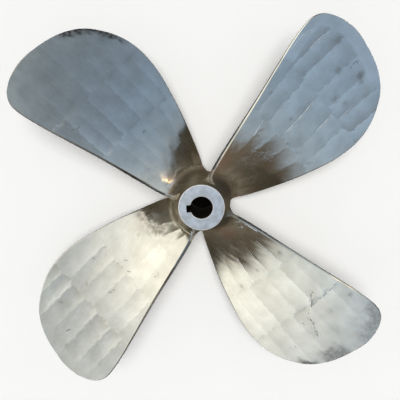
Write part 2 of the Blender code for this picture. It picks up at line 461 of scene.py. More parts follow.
def turned_mesh(name, profile):
    """Mesh of a closed profile, as (radius, z), turned a full circle about Z."""
    count = len(profile)
    vertices = []
    faces = []
    for segment in range(HUB_SEGMENTS):
        angle = 2 * math.pi * segment / HUB_SEGMENTS
        start = segment * count
        ahead = (segment + 1) % HUB_SEGMENTS * count
        for index, (radius, z) in enumerate(profile):
            above = (index + 1) % count
            vertices.append((radius * math.cos(angle), radius * math.sin(angle), z))
            faces.append((start + index, ahead + index, ahead + above, start + above))
    mesh = bpy.data.meshes.new(name)
    mesh.from_pydata(vertices, [], faces)
    return mesh


def station_at(place):
    """Radius and edge distances at a place along BLADE_STATIONS, on a smooth curve."""
    return curve_at(BLADE_STATIONS, place)


def curve_at(points, place):
    """Point at a place along a row of points, on the smooth curve through them."""
    last = len(points) - 1
    index = min(int(place), last - 1)
    t = place - index
    before = points[max(index - 1, 0)]
    after = points[min(index + 2, last)]
    values = []
    for a, b, c, d in zip(before, points[index], points[index + 1], after):
        straight = 2 * b + (c - a) * t
        bend = (2 * a - 5 * b + 4 * c - d) * t**2 + (3 * b - a - 3 * c + d) * t**3
        values.append((straight + bend) / 2)
    return values


def row_places():
    """Places along the stations of the blade's rows, from inside the hub's wall to the tip."""
    last = len(BLADE_STATIONS) - 1
    fine = np.linspace(0, last, STATION_STEPS * last)
    radii = [station_at(place)[0] for place in fine]
    wanted = [HUB_MAX_RADIUS - ROOT_DEPTH]
    for row in range(FILLET_ROWS):
        turn = FILLET_END * (1 - row / FILLET_ROWS)
        wanted.append(HUB_MAX_RADIUS + FILLET_RADIUS * (1 - math.sin(turn)))
    start = HUB_MAX_RADIUS + FILLET_RADIUS
    for row in range(BLADE_ROWS + 1):
        share = 1 - (1 - row / BLADE_ROWS) ** ROW_CROWDING
        wanted.append(mix(start, BLADE_STATIONS[-1][0], share))
    return np.interp(wanted, radii, fine)


def chord_places(steps):
    """Places across a section, -1 to 1, a little closer together near the edges."""
    even = np.linspace(-1, 1, steps + 1)
    return mix(even, np.sin(even * math.pi / 2), CHORD_CROWDING)


def section_loop(radius, leading, trailing):
    """Closed outline of a blade section as arrays: distance, depth forward of the aft face, and
    the outward direction's two parts. It runs over the face, then the back, round both edges."""
    outward = (radius - ROOT_RADIUS) / (TIP_RADIUS - ROOT_RADIUS)
    thickness = mix(*THICKNESS, outward)
    widths = (mix(*LEADING_EDGE_WIDTH, outward), mix(*TRAILING_EDGE_WIDTH, outward))
    start = EDGE_ROUNDING * widths[0] - leading + EDGE_TRIM
    end = trailing - EDGE_ROUNDING * widths[1] - EDGE_TRIM
    drop = CHAMFER_SHARE * widths[1]
    corner = end - drop / math.tan(CHAMFER_SLOPE)
    face = [(mix(start, corner, (c + 1) / 2), 0, 0, -1) for c in chord_places(FACE_STEPS - 1)]
    face.append((end, drop, 0.5, -0.5))
    back = []
    for chord in chord_places(BACK_STEPS):
        share = (chord + 1) / 2
        edge = mix(*widths, share)
        depth = edge + (thickness - edge) * (1 - chord**2)
        back.append((mix(start, end, share), depth, 0, 1))
    noses = []
    for centre, top, width, side in ((end, drop, widths[1], 1), (start, 0, widths[0], -1)):
        nose = []
        for step in range(1, EDGE_STEPS):
            turn = math.pi * (step / EDGE_STEPS - 0.5)
            reach = side * math.cos(turn)
            depth = mix(top, width, (1 + math.sin(turn)) / 2)
            nose.append((centre + EDGE_ROUNDING * width * reach, depth, reach, math.sin(turn)))
        noses.append(nose)
    return np.array(face + noses[0] + back[::-1] + noses[1][::-1]).T


def off_segment(distance, radius, start, end):
    """Share of the way along a straight segment, and how far off it in distance and in radius."""
    along = end - start
    share = (distance - start[0]) * along[0] + (radius - start[1]) * along[1]
    share = share / max(float(along @ along), 1e-12)
    held = np.clip(share, 0, 1)
    return share, distance - start[0] - held * along[0], radius - start[1] - held * along[1]


def outline_gap(distance, radius):
    """Distance in from the blade's outline, for places on its outer part."""
    places = np.linspace(OUTER_STATION, len(BLADE_STATIONS) - 1, OUTLINE_STEPS)
    stations = np.array([station_at(place) for place in places])
    crown_places = np.linspace(-1, 1, CROWN_STEPS)
    last = stations[-1]
    top = mix(-last[1], last[2], (crown_places + 1) / 2)
    top_radius = last[0] + TIP_CROWN * (1 - crown_places**2)
    edge_distance = np.concatenate((-stations[:, 1], top, stations[::-1, 2]))
    edge_radius = np.concatenate((stations[:, 0], top_radius, stations[::-1, 0]))
    points = np.stack((edge_distance, edge_radius), -1)
    gap = np.full(distance.shape, 1.0)
    for start, end in zip(points, points[1:]):
        _, off_distance, off_radius = off_segment(distance, radius, start, end)
        gap = np.minimum(gap, np.hypot(off_distance, off_radius))
    return gap


def unevenness(blade, distance, radius, shortest, longest):
    """Slow rise and fall, about -1 to 1, that grinding by hand leaves on a blade."""
    numbers = np.random.default_rng(WAVE_SEED + blade)
    total = np.zeros(distance.shape)
    for _ in range(WAVE_COUNT):
        length = numbers.uniform(shortest, longest)
        heading = numbers.uniform(0, math.pi)
        start = numbers.uniform(0, 2 * math.pi)
        across = distance * math.cos(heading) + radius * math.sin(heading)
        total += np.sin(2 * math.pi * across / length + start) / math.sqrt(WAVE_COUNT)
    return total


def row_line(row, distance):
    """Radius where a row of strips starts."""
    return row[0] + ROW_BOW * distance**2


def strips(blade, distance, radius):
    """Ground strips of a blade's face at places: which strip, the share of the way across it, the
    distance out from its row's start, its row's length there, and the row's own numbers."""
    rows = GROUND_ROWS[blade]
    wobble = RIDGE_WOBBLE * unevenness(blade, distance, radius, *RIDGE_WAVES)
    strip = np.full(distance.shape, -1)
    across = np.full(distance.shape, 0.5)
    start = np.full(distance.shape, -1.0)
    length = np.full(distance.shape, 0.1)
    numbers = np.zeros((4, *distance.shape))
    for number, row in enumerate(rows):
        line_radius, fan, lean, *row_numbers, ridges = row
        beyond = radius - line_radius - ROW_MIDDLE
        place = (distance + wobble - lean * beyond) / (1 + fan * beyond)
        limits = np.array((OUTER_RIDGES[0], *ridges, OUTER_RIDGES[1]))
        index = np.clip(np.searchsorted(limits, place) - 1, 0, len(limits) - 2)
        share = np.clip((place - limits[index]) / (limits[index + 1] - limits[index]), 0, 1)
        line = row_line(row, distance) + wobble - SCALLOP * 4 * share * (1 - share)
        outer = row_line(rows[number + 1], distance) if number + 1 < len(rows) else TIP_RADIUS
        here = radius > line
        strip = np.where(here, ROW_NUMBERING * number + index, strip)
        across = np.where(here, share, across)
        start = np.where(here, radius - line, start)
        length = np.where(here, outer - line, length)
        for column, value in enumerate(row_numbers):
            numbers[column] = np.where(here, value, numbers[column])
    return strip, across, start, length, *numbers


def strip_draw(blade, strip, low, high, seed):
    """A number between two limits that is the same all over one strip."""
    values = np.random.default_rng(SEED_STEP * seed + blade).uniform(low, high, DRAWS)
    return values[strip]


def rim_share(blade, distance, radius):
    """Share, 0 to 1, by which the pass round the tip takes the place of the strips."""
    return RIM_SHARE[blade] * ease((radius - RIM_START + RIM_LEAN * distance) / RIM_FADE)


def strip_tone_and_painted_shade(blade, distance, radius):
    """Tone of the ground strips, -1 dark to 1 bright: painted shade on each strip's leading side and
    painted highlight on its trailing side, darker where a row starts, a random tone for each strip,
    and a painted highlight in a band round the tip."""
    strip, across, start, _, _, _, contrast, row_start_darkness = strips(blade, distance, radius)
    contrast = contrast * strip_draw(blade, strip, *CONTRAST_DRAW)
    # Painted shade on each strip's leading side and painted highlight on its trailing side
    sawtooth = SAWTOOTH_PAINTED_SHADE * (2 * across - 1)
    row_start_darkening = 4 * across * (1 - across) * np.exp(-np.clip(start, 0, 1) / ROW_START_DARK_LENGTH)
    tone = contrast * sawtooth - row_start_darkness * row_start_darkening
    tone += STRIP_VARIATION * strip_draw(blade, strip, *TONE_DRAW)
    # A band along the outline of the tip is painted brighter, a painted highlight
    rim = rim_share(blade, distance, radius)
    inside = fade(outline_gap(distance, radius), *RIM_HIGHLIGHT_EDGE)
    tone = mix(tone, mix(RIM_PAINTED_HIGHLIGHT[blade], tone, inside), rim)
    return np.where(strip >= 0, tone * fade(radius, *TONE_FADE), 0)


def relief(blade, distance, radius, settings):
    """Depth of the grinding hollows at places on a blade's face."""
    strip, across, start, length, row_depth, deepest, _, _ = strips(blade, distance, radius)
    start = np.clip(start, 0, 1)
    hollow = 4 * across * (1 - across)
    depth = settings.strip_depth * row_depth * strip_draw(blade, strip, *DEPTH_DRAW)
    along = np.clip(start / np.maximum(length, SHORTEST_STRIP), 0, 1)
    run_in = 1 - np.exp(-start / RUN_IN)
    run_out = 1 - np.exp(-np.clip(length - start, 0, 1) / RUN_OUT)
    lengthwise = 1 - ((along - deepest) / np.maximum(deepest, 1 - deepest)) ** 2
    sunk = depth * hollow * run_in * run_out * lengthwise
    dig = settings.dig_depth * strip_draw(blade, strip, *DIG_DRAW)
    sunk += dig * hollow**0.5 * (1 - np.exp(-start / DIG_RUN_IN)) * np.exp(-start / DIG_LENGTH)
    sunk = np.where(strip >= 0, sunk * fade(radius, *STRIP_FADE), 0)
    gap = outline_gap(distance, radius)
    rim = rim_share(blade, distance, radius)
    sunk = mix(sunk, sunk * fade(gap, *RIM_DEPTH_EDGE), rim)
    sunk += rim * settings.rim_fall * ease(1 - gap / RIM_WIDTH)
    swell = settings.unevenness * unevenness(blade, distance, radius, *FACE_WAVES)
    root = ROOT_RIPPLE[blade] * fade(radius, *ROOT_FADE)
    ripple = root * settings.root_unevenness * unevenness(blade, distance, radius, *ROOT_WAVES)
    return sunk + (swell + ripple) * fade(radius, *FACE_FADE)


def blade_place(x, y, z):
    """Blade number, distance along its section, radius and depth of points, worked back from
    where they are."""
    radius = np.hypot(x, y)
    angle = (np.arctan2(y, x) - FIRST_BLADE_ANGLE) % (2 * math.pi)
    helix = np.arctan2(PITCH, 2 * math.pi * radius)
    rise = z - BLADE_LINE_Z - radius * math.tan(RAKE)
    turns = np.arange(BLADE_COUNT)[:, None] * (2 * math.pi / BLADE_COUNT)
    around = ((angle - turns + math.pi) % (2 * math.pi) - math.pi) * radius
    distance = around * np.cos(helix) + rise * np.sin(helix)
    depth = around * np.sin(helix) - rise * np.cos(helix)
    blade = np.abs(depth - SECTION_DEPTH).argmin(0)
    chosen = (blade, np.arange(len(blade)))
    return blade, distance[chosen], radius, depth[chosen]


def blade_point(radius, distance, depth):
    """Points on a blade, with the section wrapped on its cylinder along the pitch helix."""
    helix = np.arctan2(PITCH, 2 * math.pi * radius)
    around = distance * np.cos(helix) + depth * np.sin(helix)
    z = BLADE_LINE_Z + radius * math.tan(RAKE) + distance * np.sin(helix) - depth * np.cos(helix)
    angle = around / radius
    return np.stack((radius * np.cos(angle), radius * np.sin(angle), z), -1)


def filleted_point(radius, distance, depth, out_distance, out_depth):
    """Points on a blade, moved outward where they come near the hub."""
    height = radius - hub_radius(blade_point(radius, distance, depth)[..., 2])
    lowest = FILLET_RADIUS * (1 - math.sin(FILLET_END))
    inward = FILLET_RADIUS - np.clip(height, lowest, FILLET_RADIUS)
    spread = FILLET_RADIUS - np.sqrt(FILLET_RADIUS**2 - inward**2)
    return blade_point(
        radius,
        distance + out_distance * spread * EDGE_FILLET_SHARE,
        depth + out_depth * spread,
    )


def following(place):
    """Share, 1 to 0, of the hub's barrel that a row of the blade's mesh follows."""
    first, last = FOLLOWING_STATIONS
    return ease((last - place) / (last - first))


def blade_rows(blade, settings):
    """Loops of points of one blade, as an array of rows of points."""
    last = len(BLADE_STATIONS) - 1
    rows = []
    rounding = [(place, 0.0) for place in row_places()]
    rounding += [(float(last), (turn + 1) / TIP_ROWS * TIP_TURN) for turn in range(TIP_ROWS)]
    for place, turn in rounding:
        radius, leading, trailing = station_at(place)
        narrower = TIP_ROUNDING * (1 - math.cos(turn))
        distance, depth, out_distance, out_depth = section_loop(
            radius, leading - narrower, trailing - narrower
        )
        middle = (trailing - leading) / 2
        half_width = (trailing + leading) / 2
        crown = TIP_CROWN * (1 - ((distance - middle) / half_width) ** 2) * (place / last) ** 3
        narrowing = HUB_MAX_RADIUS - hub_radius(blade_point(radius, distance, depth)[:, 2])
        last_quarter = ease((place - last + 1) * 4 - 3)
        pulled = TIP_ROUNDING * (math.sin(turn) - last_quarter)
        true_radius = radius + crown - narrowing * following(place) + pulled
        facing = fade(-out_depth, *FACE_FACING)
        depth = depth + facing * relief(blade, distance, true_radius, settings)
        depth = mix(LEADING_EDGE_WIDTH[1], depth, math.cos(turn))
        rows.append(filleted_point(true_radius, distance, depth, out_distance, out_depth))
    return np.array(rows)


def cap_faces(first):
    """Faces that close a blade's end, between its aft face and its back."""
    many = FACE_STEPS // BACK_STEPS
    size = FACE_STEPS + BACK_STEPS + 2 * EDGE_STEPS
    back_start = FACE_STEPS + EDGE_STEPS
    faces = []
    for step in range(BACK_STEPS):
        face = [first + step * many + index for index in range(many + 1)]
        back = back_start + BACK_STEPS - step
        faces.append([*face, first + back - 1, first + back])
    faces.append([first + index for index in range(FACE_STEPS, back_start + 1)])
    faces.append([first + index % size for index in range(back_start + BACK_STEPS, size + 1)])
    return faces


def blades_mesh(name, settings):
    """Mesh of all the blades, each one a closed body that starts inside the hub's wall."""
    points = []
    faces = []
    for blade in range(BLADE_COUNT):
        turn = FIRST_BLADE_ANGLE + 2 * math.pi * blade / BLADE_COUNT
        rows = blade_rows(blade, settings)
        turned = np.array(
            ((math.cos(turn), -math.sin(turn), 0), (math.sin(turn), math.cos(turn), 0), (0, 0, 1))
        )
        first = sum(len(rows) for rows in points)
        count, size = rows.shape[:2]
        points.append((rows @ turned.T).reshape(-1, 3))
        for row in range(count - 1):
            lower = first + row * size
            for index in range(size):
                ahead = (index + 1) % size
                faces.append((lower + index, lower + ahead, lower + size + ahead, lower + size + index))
        faces += [face[::-1] for face in cap_faces(first)]
        faces += cap_faces(first + (count - 1) * size)
    mesh = bpy.data.meshes.new(name)
    mesh.from_pydata(np.concatenate(points).tolist(), [], faces)
    bm = bmesh.new()
    bm.from_mesh(mesh)
    bmesh.ops.recalc_face_normals(bm, faces=bm.faces)
    bmesh.ops.triangulate(bm, faces=bm.faces)
    for face in bm.faces:
        face.material_index = 1
    bm.to_mesh(mesh)
    bm.free()
    return mesh


def mesh_of(bm, name):
    """Mesh of what was modelled."""
    mesh = bpy.data.meshes.new(name)
    bm.to_mesh(mesh)
    bm.free()
    return mesh


def keyway_mesh(name):
    """Cutter for the keyway, whose floor follows the bore's taper."""
    overrun = 0.01
    half_width = KEYWAY_WIDTH / 2
    bm = bmesh.new()
    corners = []
    for z in (-overrun, HUB_LENGTH + overrun):
        floor = bore_radius(z) + KEYWAY_DEPTH
        for x, y in ((0, -half_width), (floor, -half_width), (floor, half_width), (0, half_width)):
            corners.append(bm.verts.new((x, y, z)))
    bmesh.ops.convex_hull(bm, input=corners)
    return mesh_of(bm, name)


def add_object(name, mesh):
    """Object of a mesh, in the scene."""
    thing = bpy.data.objects.new(name, mesh)
    bpy.context.scene.collection.objects.link(thing)
    return thing


def joined_mesh(settings, materials):
    """Mesh of the hub with its blades joined on and its keyway cut."""
    hub = add_object("hub", turned_mesh("hub", hub_profile()))
    blades = add_object("blades", blades_mesh("blades", settings))
    for thing in (hub, blades):
        for material in materials[:2]:
            thing.data.materials.append(material)
    keyway = add_object("keyway", keyway_mesh("keyway"))
    keyway.rotation_euler.z = KEYWAY_ANGLE
    for helper, operation in ((blades, "UNION"), (keyway, "DIFFERENCE")):
        boolean = hub.modifiers.new(helper.name, "BOOLEAN")
        boolean.operation = operation
        boolean.solver = "EXACT"
        boolean.object = helper
    bpy.context.view_layer.update()
    whole = hub.evaluated_get(bpy.context.evaluated_depsgraph_get())
    mesh = bpy.data.meshes.new_from_object(whole)
    for thing in (hub, blades, keyway):
        bpy.data.objects.remove(thing)
    return mesh


def smooth_roots(mesh):
    """Ease the line where the blades' fillets run into the hub."""
    bm = bmesh.new()
    bm.from_mesh(mesh)
    near = {v for v in bm.verts if len({face.material_index for face in v.link_faces}) > 1}
    near = {v for v in near if v.co.z < HUB_LENGTH - 2 * RIM_CHAMFER}
    for _ in range(JOINT_RINGS):
        near |= {edge.other_vert(v) for v in near for edge in v.link_edges}
    ordered = sorted(near, key=lambda v: v.index)
    for _ in range(JOINT_SMOOTHING):
        bmesh.ops.smooth_vert(
            bm, verts=ordered, factor=0.5, use_axis_x=True, use_axis_y=True, use_axis_z=True
        )
    bmesh.ops.triangulate(bm, faces=bm.faces)
    bm.to_mesh(mesh)
    bm.free()


def vectors(items, name):
    """The x, y and z of a vector that each of a mesh's points or faces has."""
    values = np.empty(len(items) * 3)
    items.foreach_get(name, values)
    return values.reshape(-1, 3).T


def store(mesh, name, values):
    """Keep one number for each of a mesh's points, for its material to read."""
    attribute = mesh.attributes.new(name, "FLOAT", "POINT")
    attribute.data.foreach_set("value", np.asarray(values, np.float32))


def line_marks(lines, blade, distance, radius):
    """Signed distance to the nearest of some lines, over its width, and its strength."""
    offset = np.full(distance.shape, MARK_REACH)
    presence = np.zeros(distance.shape)
    for line_blade, strength, width, path in lines:
        places = np.linspace(0, len(path) - 1, MARK_STEPS * len(path))
        points = np.array([curve_at(path, place) for place in places])
        for number, (start, end) in enumerate(zip(points, points[1:])):
            share, off_distance, off_radius = off_segment(distance, radius, start, end)
            along = end - start
            gap = np.hypot(off_distance, off_radius) / width
            side = np.sign(off_distance * along[1] - off_radius * along[0])
            nearer = (blade == line_blade) & (gap < np.abs(offset)) & (gap < MARK_REACH)
            done = (number + 0.5) / len(points)
            offset = np.where(nearer, side * gap, offset)
            present = strength * width * ease(min(done, 1 - done) * MARK_END_FADE)
            counts = (share > -MARK_OVERSHOOT) & (share < 1 + MARK_OVERSHOOT)
            presence = np.where(nearer, present * counts, presence)
    return offset, presence


def spot_marks(spots, blade, distance, radius):
    """Strength of some round spots at places on the blades."""
    strength = np.zeros(distance.shape)
    for spot_blade, centre, out, size, darkness in spots:
        off = np.hypot(distance - centre, radius - out) / size
        strength = strength + (blade == spot_blade) * darkness * np.exp(-(off**2))
    return strength


def skin_and_shade_marks(blade, distance, radius):
    """Strength of stains, and of cast skin and painted shade at the tips, at places on the blades."""
    strength = spot_marks(STAINS, blade, distance, radius)
    gap = outline_gap(distance, radius)
    for number, (band_blade, first, last, lowest, width, darkness) in enumerate(SKIN_AND_SHADE_BANDS):
        along = fade(distance, first, SKIN_END_FADE) * fade(distance, last, -SKIN_END_FADE)
        waves = unevenness(number, distance, radius, *SKIN_WAVES)
        ragged = width * (1 + SKIN_RAGGEDNESS * waves)
        along = along * fade(radius, lowest, SKIN_START_FADE)
        band = (blade == band_blade) * darkness * along * ease(SKIN_STRENGTH * (1 - gap / ragged))
        strength = np.maximum(strength, band)
    return strength


def edge_marks(distance, radius):
    """Share, 0 to 1, by which places lie on the blade's rounded edges."""
    last = len(BLADE_STATIONS) - 1
    places = np.linspace(0, last, STATION_STEPS * last)
    stations = np.array([station_at(place) for place in places])
    leading = np.interp(radius, stations[:, 0], stations[:, 1])
    trailing = np.interp(radius, stations[:, 0], stations[:, 2])
    outward = (radius - ROOT_RADIUS) / (TIP_RADIUS - ROOT_RADIUS)
    before = EDGE_ROUNDING * mix(*LEADING_EDGE_WIDTH, outward) + EDGE_TRIM - (distance + leading)
    after = EDGE_ROUNDING * mix(*TRAILING_EDGE_WIDTH, outward) + EDGE_TRIM - (trailing - distance)
    return np.clip(np.maximum(before, after) / EDGE_SOFTNESS, 0, 1)


def store_marks(mesh):
    """Keep what the materials read: places on the blades, tone with painted shade and highlight, burrs,
    stains, and oxide with painted reflection and shade.
    """
    blade, distance, radius, depth = blade_place(*vectors(mesh.vertices, "co"))
    on_face = fade(depth, *FACE_DEPTH)
    tone = np.zeros(len(mesh.vertices))
    for number in range(BLADE_COUNT):
        tone = np.where(blade == number, strip_tone_and_painted_shade(number, distance, radius), tone)
    burr_offset, burr_presence = line_marks(BURRS, blade, distance, radius)
    scratch_offset, scratch_presence = line_marks(SCRATCHES, blade, distance, radius)
    # Share of the rounded edges, which the ground bronze paints dark as their painted shade
    edges = edge_marks(distance, radius) * (radius > HUB_MAX_RADIUS + FILLET_RADIUS)
    store(mesh, "across_mm", distance * 1000 + BLADE_SPACING_MM * blade)
    store(mesh, "outward_mm", radius * 1000)
    store(mesh, "tone", tone * on_face)
    store(mesh, "burr_mm", burr_offset * 1000)
    store(mesh, "burr", burr_presence * on_face)
    store(mesh, "scratch_mm", scratch_offset * 1000)
    store(mesh, "scratch", scratch_presence * on_face)
    store(mesh, "skin", skin_and_shade_marks(blade, distance, radius) * on_face)
    store(mesh, "copper", spot_marks(COPPER_PATCHES, blade, distance, radius) * on_face)
    store(mesh, "edge", edges)
    # Brown oxide at the roots, partly a painted reflection of the dark ground, reaching farther on the
    # backs as painted shade
    oxide = 1 - fade(radius, OXIDE_AND_SHADE_START, mix(*OXIDE_AND_SHADE_REACH, on_face))
    patches = spot_marks(OXIDE_AND_SHADE_PATCHES, blade, distance, radius) * on_face
    store(mesh, "oxide", np.clip(oxide + patches, 0, 1))
    clean = np.clip(-patches, 0, 1)
    store(mesh, "dull_root", (1 - fade(radius, *DULL_ROOT_FADE)) * (1 - clean))
    store(mesh, "rubbed", clean)


def paint_faces(mesh):
    """Give each face its finish: ground or oxidised, faced, bored, or filed at an end's edges. The
    numbers are those of the casting's materials, and up is how much a face looks along Z."""
    near = 1e-4
    beside = 1e-3
    ground, faced, bored, filed = range(4)
    x, y, z = vectors(mesh.polygons, "center")
    _, _, up = vectors(mesh.polygons, "normal")
    radius = np.hypot(x, y)
    upright = np.abs(up) < 0.1
    level = np.abs(up) > 0.9
    finish = np.full(len(mesh.polygons), ground, np.int32)
    in_keyway = (radius < bore_radius(z) + KEYWAY_DEPTH + near) & upright
    finish[(radius < bore_radius(z) + near) | in_keyway] = bored
    aft_end = (np.abs(z - HUB_LENGTH) < 2 * RIM_CHAMFER) & (radius < AFT_RADIUS + beside)
    finish[aft_end & (up > 0.3)] = faced
    finish[(z < RIM_CHAMFER) & (radius < HUB_MAX_RADIUS) & (up < -0.3)] = faced
    finish[(finish == faced) & ~level] = filed
    finish[(z < BORE_CHAMFER) & (radius < bore_radius(0) + BORE_CHAMFER)] = bored
    mesh.polygons.foreach_set("material_index", finish)


def add_node(tree, kind, inputs=(), output=None, stops=(), **settings):
    """Add a shader node with its settings, set or link its inputs, and return one of its outputs,
    by default the first in use. Inputs are in order, or keyed by name or number. Stops are a ramp's
    places and colours."""
    node = tree.nodes.new("ShaderNode" + kind)
    for name, value in settings.items():
        setattr(node, name, value)
    for key, value in inputs.items() if isinstance(inputs, dict) else enumerate(inputs):
        if isinstance(value, bpy.types.NodeSocket):
            tree.links.new(value, node.inputs[key])
        else:
            node.inputs[key].default_value = value
    if stops:
        elements = node.color_ramp.elements
        while len(elements) < len(stops):
            elements.new(1.0)
        for element, (position, colour) in zip(elements, stops):
            element.position = position
            element.color = colour
    if output is not None:
        return node.outputs[output]
    return next((socket for socket in node.outputs if socket.enabled), None)


def new_material(name):
    """Material with an empty node tree, and the tree."""
    material = bpy.data.materials.new(name)
    material.use_nodes = True
    material.node_tree.nodes.clear()
    return material, material.node_tree


def end_material(material, inputs):
    """Shade a material from its inputs, and return it."""
    tree = material.node_tree
    shader = add_node(tree, "BsdfPrincipled", inputs)
    add_node(tree, "OutputMaterial", {"Surface": shader})
    return material


def ground_bronze(settings):
    """Manganese bronze, cast and then ground by hand with a disc: a grey-gold mirror blurred by
    fine scratches along each strip, with painted shade and highlight across the strips, a brown oxide
    film at the roots that is partly a painted reflection of the dark ground and painted shade on the
    backs, dull cast skin where the grinder never reached with painted shade at one tip, painted dark
    outlines on the rounded edges, and white burrs that are partly a painted glint."""
    material, tree = new_material("hand_ground_bronze")
    read = {name: add_node(tree, "Attribute", output="Fac", attribute_name=name) for name in MARKS}

    # Patterns: clouding, specks and the disc's scratches
    place = add_node(tree, "CombineXYZ", (read["across_mm"], read["outward_mm"]))
    cloud = add_node(tree, "TexNoise", {"Vector": place, "Scale": 1 / CLOUD_MM, "Detail": 5})
    specks = add_node(tree, "TexNoise", {"Vector": place, "Scale": 1 / SPECK_MM, "Detail": 3})
    stretch = (1 / SCRATCH_WIDTH_MM, 1 / SCRATCH_LENGTH_MM, 1)
    stretched = add_node(tree, "VectorMath", (place, stretch), operation="MULTIPLY")
    scratches = add_node(tree, "TexNoise", {"Vector": stretched, "Scale": 1, "Detail": 4})

    # How bright the ground metal is, from the strips' tone with its painted shade and highlight, the
    # clouding and the scratches
    toned = add_node(tree, "Math", (read["tone"], 0.5, cloud), operation="MULTIPLY_ADD")
    brushed = add_node(tree, "Math", (scratches, 0.3, -0.15), operation="MULTIPLY_ADD")
    bright = add_node(tree, "Math", (toned, brushed), operation="ADD")

    # Shares of brown oxide, partly a painted reflection of the dark ground and painted shade on the
    # backs, and of copper, with ragged edges
    mottle = add_node(tree, "Math", (cloud, 1.2, -1.0), operation="MULTIPLY_ADD")
    ragged = add_node(tree, "Math", (specks, 0.8, mottle), operation="MULTIPLY_ADD")
    browned = add_node(tree, "Math", (read["oxide"], ragged), operation="ADD")
    oxide = add_node(tree, "MapRange", (browned, 0.25, 0.95), interpolation_type="SMOOTHSTEP")
    blotched = add_node(tree, "MapRange", (cloud, 0.35, 0.6, 0.5, 1.2))
    copper = add_node(tree, "Math", (read["copper"], blotched), operation="MULTIPLY", use_clamp=True)

    # Share of dull cast skin and painted shade at the tips, stains and broken dark scratches
    flaked = add_node(tree, "MapRange", (specks, 0.35, 0.6, 0.6, 1.15))
    skin = add_node(tree, "Math", (read["skin"], flaked), operation="MULTIPLY", use_clamp=True)
    beside = add_node(tree, "Math", (read["scratch_mm"],), operation="ABSOLUTE")
    line = add_node(tree, "MapRange", (beside, *SCRATCH_FADE_MM, 1.0, 0.0))
    broken = add_node(tree, "MapRange", (specks, 0.45, 0.55, 0.0, 1.0))
    line = add_node(tree, "Math", (line, broken), operation="MULTIPLY")
    line = add_node(tree, "Math", (line, read["scratch"]), operation="MULTIPLY")
    dull = add_node(tree, "Math", (skin, line), operation="MAXIMUM")

    # Height of the burrs, each a ridge with a gentle flank and a steep one, worn down in places
    back, front = BURR_FLANKS_MM
    gentle = add_node(tree, "MapRange", (read["burr_mm"], 0.0, front, BURR_HEIGHT, 0.0))
    steep = add_node(tree, "MapRange", (read["burr_mm"], back, 0.0, 0.0, BURR_HEIGHT))
    ridge = add_node(tree, "Math", (gentle, steep), operation="MINIMUM")
    worn = add_node(tree, "MapRange", (specks, 0.35, 0.55, 0.4, 1.0))
    worn = add_node(tree, "Math", (worn, read["burr"]), operation="MULTIPLY")
    burr = add_node(tree, "Math", (ridge, worn), operation="MULTIPLY")
    # Share of the burrs' crests painted near white, partly a painted glint
    on_burr = add_node(tree, "Math", (burr, 5 / BURR_HEIGHT), operation="MULTIPLY", use_clamp=True)

    # Layers of colour, each over the last: tone with painted shade and highlight, oxide partly painted
    # reflection and shade, copper, skin and painted shade, painted dark edges, and partly painted
    # glints
    colour = settings.bronze_dark
    for share, layer in (
        (bright, settings.bronze_light),
        (oxide, settings.oxide),
        (copper, settings.copper),
        (dull, settings.cast_skin_and_shade),
        (read["edge"], settings.edge_painted_shade),
        (on_burr, settings.burr),
    ):
        colour = add_node(tree, "Mix", {0: share, 6: colour, 7: layer}, data_type="RGBA")

    # The roots are duller, the trailing side of a strip and what is rubbed clean are smoother
    rough = add_node(tree, "MapRange", (scratches, 0.3, 0.7, *GROUND_ROUGHNESS))
    for mark, added in (("tone", -0.04), ("dull_root", 0.18), ("rubbed", -0.05)):
        rough = add_node(tree, "Math", (read[mark], added, rough), operation="MULTIPLY_ADD")
    for share, roughness in ((oxide, 0.48), (dull, 0.50), (on_burr, 0.22)):
        rough = add_node(tree, "Mix", {0: share, 2: rough, 3: roughness})

    # Relief: the burrs, lumps under the oxide and the scratches' grain
    whole = add_node(tree, "TexCoord", output="Object")
    lumps = add_node(tree, "TexNoise", {"Vector": whole, "Scale": 1000 / LUMP_MM, "Detail": 3})
    lumpy = add_node(tree, "Math", (lumps, oxide), operation="MULTIPLY")
    raised = add_node(tree, "Math", (lumpy, LUMP_HEIGHT, burr), operation="MULTIPLY_ADD")
    fine = add_node(tree, "Math", (scratches, SCRATCH_HEIGHT, raised), operation="MULTIPLY_ADD")
    bump = add_node(tree, "Bump", {"Height": fine, "Distance": 1.0, "Strength": 1.0})
    return end_material(
        material, {"Base Color": colour, "Metallic": 1.0, "Roughness": rough, "Normal": bump}
    )


def faced_bronze(settings):
    """Bronze faced on a lathe: a brighter, paler metal with fine rings round the bore."""
    material, tree = new_material("lathe_faced_bronze")
    place = add_node(tree, "TexCoord", output="Object")
    x, y, _ = add_node(tree, "SeparateXYZ", (place,)).node.outputs
    flat = add_node(tree, "CombineXYZ", (x, y))
    radius = add_node(tree, "VectorMath", (flat,), operation="LENGTH")
    turned = add_node(tree, "CombineXYZ", (radius,))
    rings = add_node(tree, "TexNoise", {"Vector": turned, "Scale": RINGS_PER_METRE, "Detail": 2})
    cloud = add_node(tree, "TexNoise", {"Vector": place, "Scale": 1000 / FACED_CLOUD_MM, "Detail": 5})
    patched = add_node(tree, "MapRange", (cloud, 0.35, 0.65))
    colours = {0: patched, 6: settings.faced_dark, 7: settings.faced_light}
    colour = add_node(tree, "Mix", colours, data_type="RGBA")
    rough = add_node(tree, "MapRange", (rings, 0.3, 0.7, 0.36, 0.46))
    bump = add_node(tree, "Bump", {"Height": rings, "Distance": RING_HEIGHT, "Strength": 0.6})
    return end_material(
        material, {"Base Color": colour, "Metallic": 1.0, "Roughness": rough, "Normal": bump}
    )


